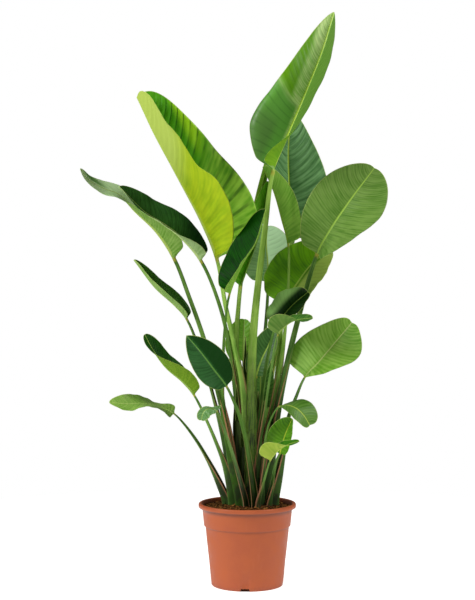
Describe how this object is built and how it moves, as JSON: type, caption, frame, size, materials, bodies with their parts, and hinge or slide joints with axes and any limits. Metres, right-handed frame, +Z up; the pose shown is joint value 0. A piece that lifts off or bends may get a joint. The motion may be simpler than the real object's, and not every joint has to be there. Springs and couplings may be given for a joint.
{
  "type": "potted bird of paradise",
  "caption": "Leafy tropical house plant: broad, folded and waved paddle leaves on tall upright stalks that fan out of potting mix in a tapered round nursery pot.",
  "frame": {"origin": "middle of the pot's flat underside, where it stands on the floor", "axes": "+Z up along the pot's axis; the plant's front, with the most open view of its leaves, faces -Y"},
  "size_m": [0.7523, 0.3506, 1.4055],
  "materials": {
    "pot": "terracotta-coloured injection-moulded plastic with a dull sheen",
    "potting_mix": "rough dark bark and peat",
    "leaf_mid_green": "waxy leaf, satin above and duller beneath",
    "leaf_dark_green": "waxy dark leaf, glossy above",
    "leaf_lime_green": "young translucent leaf, satin",
    "leaf_grey_green": "bloomed grey-green leaf, matt"
  },
  "bodies": {
    "root": {"pot": "pot", "potting_mix": "potting_mix", "leaf_top": "leaf_mid_green", "leaf_reach_back": "leaf_mid_green", "leaf_low_left": "leaf_mid_green", "leaf_behind_centre": "leaf_mid_green", "leaf_rolled": "leaf_mid_green", "leaf_mid_right": "leaf_mid_green", "leaf_cupped_right": "leaf_mid_green", "leaf_large_right": "leaf_mid_green", "leaf_half_folded": "leaf_mid_green", "leaf_round_right": "leaf_mid_green", "leaf_small_right": "leaf_mid_green", "leaf_low_inner": "leaf_mid_green", "leaf_back_low": "leaf_mid_green", "leaf_reach_front": "leaf_dark_green", "leaf_narrow_left": "leaf_dark_green", "leaf_folded_left": "leaf_dark_green", "leaf_dark_oval": "leaf_dark_green", "leaf_dark_centre": "leaf_dark_green", "leaf_dark_inner": "leaf_dark_green", "leaf_tall_left": "leaf_lime_green", "leaf_bright_inner": "leaf_lime_green", "leaf_low_curled": "leaf_lime_green", "leaf_small_curled": "leaf_grey_green", "leaf_pale_back": "leaf_grey_green", "leaf_small_twisted": "leaf_grey_green", "leaf_tall_back": "leaf_grey_green"}
  },
  "joints": []
}
